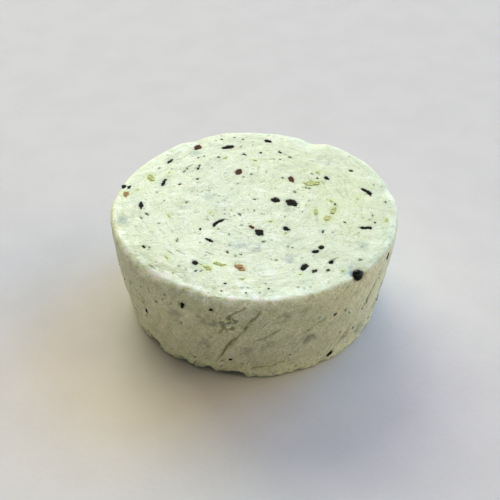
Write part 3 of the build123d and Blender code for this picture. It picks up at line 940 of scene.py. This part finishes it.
def soap_material():
    """Waxy, cloudy pale green soap, finely speckled, streaked round on top and down the flank."""
    s = Shader("soap")
    smeared, dragged = smeared_place(s), dragged_place(s)
    facing = s.add("NewGeometry").outputs["Normal"]
    topness = s.between(s.add("SeparateXYZ", {"Vector": facing}).outputs["Z"], 0.35, 0.85)

    colour = s.mix(s.between(s.noise(8, 3), 0.38, 0.66), (0.675, 0.775, 0.585), (0.70, 0.785, 0.575))
    colour = s.mix(s.between(s.noise(3.2, 4, rough=0.6), 0.46, 0.68), colour, (0.785, 0.855, 0.71))
    streaks = s.mix(topness, s.noise(2.2, 4, dragged, 0.7), s.noise(1.8, 5, smeared, 0.7, 1.6))
    arcs = s.between(s.noise(7, 2), 0.42, 0.60, 0.08, 0.7)
    arcs = s.maths("MULTIPLY", s.between(streaks, 0.52, 0.36), arcs)
    colour = s.mix(arcs, colour, (0.50, 0.59, 0.40))
    rubbed = s.between(s.noise(1.2, 5, dragged, 0.75), 0.52, 0.64, 0.0, 0.75)
    rubbed = s.maths("MULTIPLY", rubbed, s.maths("SUBTRACT", 1.0, topness))
    colour = s.mix(rubbed, colour, (0.86, 0.88, 0.78))
    mottle = s.between(s.noise(1.7, 4, rough=0.75, distortion=0.5), 0.50, 0.68, 0.0, 0.62)
    mottle = s.maths("MULTIPLY", mottle, s.between(s.noise(5, 2), 0.40, 0.60, 0.3, 1.0))
    colour = s.mix(mottle, colour, (0.46, 0.54, 0.36))
    grain = s.mix(topness, (0.70, 0.70, 0.68), (0.925, 0.935, 0.92))
    grain = s.mix(s.between(s.noise(0.5, 4, rough=0.8), 0.36, 0.64), grain, (1.0, 1.0, 1.0))
    colour = s.mix(1.0, colour, grain, "MULTIPLY")

    crowd = s.between(s.noise(5, 3), 0.40, 0.59, 0.05, 0.95)
    flecks = s.maths("MULTIPLY", s.spots(1.5, -0.1, 0.52, 0.28, s.jittered(0.5, 0.25)), crowd)
    colour = s.mix(flecks, colour, (0.28, 0.34, 0.21))
    round_top = s.spots(1.3, -0.6, 0.48, 0.2, smeared)
    dashes = s.mix(topness, s.spots(1.5, -0.7, 0.46, 0.2, dragged), round_top)
    colour = s.mix(s.maths("MULTIPLY", dashes, crowd), colour, (0.25, 0.31, 0.19))
    dust = s.maths("MULTIPLY", s.spots(0.75, -0.05, 0.26, 0.10, s.jittered(0.3, 0.1)), 0.55)
    colour = s.mix(dust, colour, (0.36, 0.44, 0.26))
    blots = s.spots(2.9, -0.5, 0.8, 0.5, s.jittered(0.8, 0.6))
    blots = s.maths("MULTIPLY", blots, s.between(s.noise(1.2, 3), 0.35, 0.6, 0.1, 0.6))
    colour = s.mix(blots, colour, (0.30, 0.36, 0.26))
    pale = s.maths("MULTIPLY", s.spots(1.9, 0.0, 0.45, 0.3, s.jittered(0.9, 0.4)), 0.6)
    colour = s.mix(pale, colour, (0.86, 0.91, 0.83))

    # stains, and painted light and shade, from each vertex
    stain_and_painted_light = s.add("Attribute", attribute_name="stain_and_painted_light").outputs["Color"]
    colour = s.mix(1.0, colour, stain_and_painted_light, "MULTIPLY")

    s.bump((s.noise(2.4, 4, rough=0.6), 0.16), (streaks, 0.03), (s.noise(0.7, 4, rough=0.6), 0.19))
    roughness = s.between(s.noise(1.8, 3), 0.35, 0.7, 0.40, 0.62)
    return s.finish(Base_Color=colour, Roughness=roughness, IOR=1.45, Subsurface_Weight=0.85,
                    Subsurface_Radius=(1.0, 0.9, 0.65), Subsurface_Scale=0.9 * MM,
                    Coat_Weight=0.06, Coat_Roughness=0.3)


# Of a botanical seen through a film of soap
DULL_FILM, HERB_FILM = (0.36, 0.43, 0.30), (0.68, 0.76, 0.50)
ROUGHNESS_SPREAD = 0.12  # either side of a botanical's mean roughness
# The material of each slot: its name, its dark, light and accent colours, how large its mottling is, how
# rough and how deep, how strong its sheen, and its colour under a film of soap if it has its own
DRIED = {
    "dark_leaf": ("dried_dark_leaf", (0.004, 0.004, 0.003), (0.016, 0.014, 0.009),
                  (0.075, 0.046, 0.022), 0.6, 0.8, 0.05, 0.08),
    "red_petal": ("dried_red_petal", (0.030, 0.013, 0.008), (0.12, 0.045, 0.027),
                  (0.018, 0.012, 0.009), 0.6, 0.75, 0.05, 0.12),
    "rust_petal": ("dried_rust_petal", (0.30, 0.16, 0.055), (0.50, 0.32, 0.15),
                   (0.12, 0.055, 0.02), 0.8, 0.65, 0.06, 0.2),
    "amber_husk": ("dried_amber_husk", (0.26, 0.15, 0.045), (0.52, 0.37, 0.12),
                   (0.06, 0.03, 0.015), 0.7, 0.6, 0.06, 0.2),
    "green_herb": ("dried_green_herb", (0.46, 0.52, 0.17), (0.62, 0.67, 0.28),
                   (0.58, 0.60, 0.24), 0.6, 0.6, 0.05, 0.2, HERB_FILM),
    "seed": ("round_black_seed", (0.002, 0.002, 0.002), (0.005, 0.005, 0.005),
             (0.012, 0.009, 0.007), 0.5, 0.24, 0.05, 0.10),
}


def dried(name, dark, light, accent, size, roughness, depth, sheen, film=DULL_FILM):
    """A dried plant part: painted shade in its hollows and painted light on its ridges, with patches of an
    accent and a film of soap."""
    s = Shader(name)
    mottle = s.noise(size, 4, rough=0.65)
    # painted shade and light, following the same noise as the bumps
    colour = s.mix(s.between(mottle, 0.38, 0.66), dark, light)
    colour = s.mix(s.between(s.noise(size * 2.2, 2), 0.56, 0.7), colour, accent)
    filmed = s.add("Attribute", attribute_name="film").outputs["Fac"]
    colour = s.mix(filmed, colour, film)
    fibres = s.noise(size * 0.35, 2, distortion=1.5)
    s.bump((mottle, depth), (fibres, depth * 0.5))
    rough = s.between(fibres, 0.3, 0.7, roughness - ROUGHNESS_SPREAD, roughness + ROUGHNESS_SPREAD)
    return s.finish(Base_Color=colour, Roughness=rough, Specular_IOR_Level=sheen)


def make_materials():
    """One material for each slot."""
    return {"soap": soap_material(), **{slot: dried(*look) for slot, look in DRIED.items()}}


# ---- Studio ----

VIEW_ELEVATION, VIEW_DISTANCE = 38.0, 300.0
AIM = (-1.0, 0.0, 15.3)
LENS = 79.9
FLOOR_RADIUS, COVE_RADIUS = 9.0, 16.0  # metres: flat, then curving up all round
COVE_RISE = 0.4  # how high the curve goes for each metre out
FLOOR_RINGS, COVE_RINGS, FLOOR_SIDES = (0.4, 1.0, 3.0, FLOOR_RADIUS), 8, 96
FLOOR_GREYS = (0.615,) * 3, (0.635,) * 3

# Direction towards each light, how wide it is in degrees, and how much light of each colour it
# puts on the floor. Together they add up to white.
SOFT_LIGHTS = {
    "overhead": ((0.0, 0.04, 1.0), 60, (0.30, 0.24, 0.19)),
    "behind_left": ((-0.30, 0.81, 0.50), 44, (0.36, 0.36, 0.22)),
    "behind": ((0.0, 0.87, 0.50), 44, (0.13, 0.11, 0.17)),
    "behind_right": ((0.66, 0.56, 0.50), 44, (0.01, 0.12, 0.30)),
    "right": ((0.87, 0.0, 0.50), 44, (0.20, 0.17, 0.12)),
}
FILL = (0.004, 0.004, 0.004)


def make_floor():
    """A wide pale floor that curves up far away, behind every low view."""
    reach = COVE_RADIUS - FLOOR_RADIUS
    rings = [(radius, 0.0) for radius in FLOOR_RINGS]
    for i in range(1, COVE_RINGS + 1):
        turn = math.pi / 2 * i / COVE_RINGS
        rings.append((FLOOR_RADIUS + reach * math.sin(turn), reach * (1 - math.cos(turn)) * COVE_RISE))
    angles = np.arange(FLOOR_SIDES) * 2 * math.pi / FLOOR_SIDES
    points, number = [(0, 0, 0)], 1 + np.arange(FLOOR_SIDES)
    faces = [(0, j, j % FLOOR_SIDES + 1) for j in number.tolist()]
    for radius, z in rings:
        points += ring_at(radius, z, angles).tolist()
    for i in range(len(rings) - 1):
        faces += bridge(number + i * FLOOR_SIDES, number + (i + 1) * FLOOR_SIDES)
    mesh = bpy.data.meshes.new("floor")
    mesh.from_pydata(points, [], faces)
    set_smooth(mesh)
    s = Shader("pale_floor")
    colour = s.mix(s.between(s.noise(14, 4), 0.35, 0.65), *FLOOR_GREYS)
    s.bump((s.noise(1.6, 3), 0.05))
    mesh.materials.append(s.finish(Base_Color=colour, Roughness=0.75, Specular_IOR_Level=0.2))
    new_object("floor", mesh)


def make_light():
    """The soft lights, each as bright as it takes to put its share on the floor, and a faint fill."""
    for name, (towards, width, colour) in SOFT_LIGHTS.items():
        light = bpy.data.lights.new(name, "SUN")
        light.energy = math.pi * max(colour) / Vector(towards).normalized().z
        light.color = [part / max(colour) for part in colour]
        light.angle = math.radians(width)
        new_object(name, light).rotation_euler = Vector(towards).to_track_quat("Z", "Y").to_euler()
    world = bpy.data.worlds.new("fill")
    world.use_nodes = True
    world.node_tree.nodes["Background"].inputs["Color"].default_value = (*FILL, 1)
    bpy.context.scene.world = world


def make_camera():
    """A long lens from in front and above."""
    lens = bpy.data.cameras.new("camera")
    lens.lens = LENS
    camera = new_object("camera", lens)
    tip = math.radians(VIEW_ELEVATION)
    back = Vector((0, -math.cos(tip), math.sin(tip)))
    camera.location = (Vector(AIM) + VIEW_DISTANCE * back) * MM
    camera.rotation_euler = back.to_track_quat("Z", "Y").to_euler()
    lens.clip_start, lens.clip_end = 0.01, 100
    bpy.context.scene.camera = camera


def main():
    """Builds every piece, the floor, the lights and the camera."""
    materials = make_materials()
    make_soap(materials, make_botanicals(materials))
    make_floor()
    make_light()
    make_camera()
    bpy.context.scene.view_settings.view_transform = "Standard"


main()
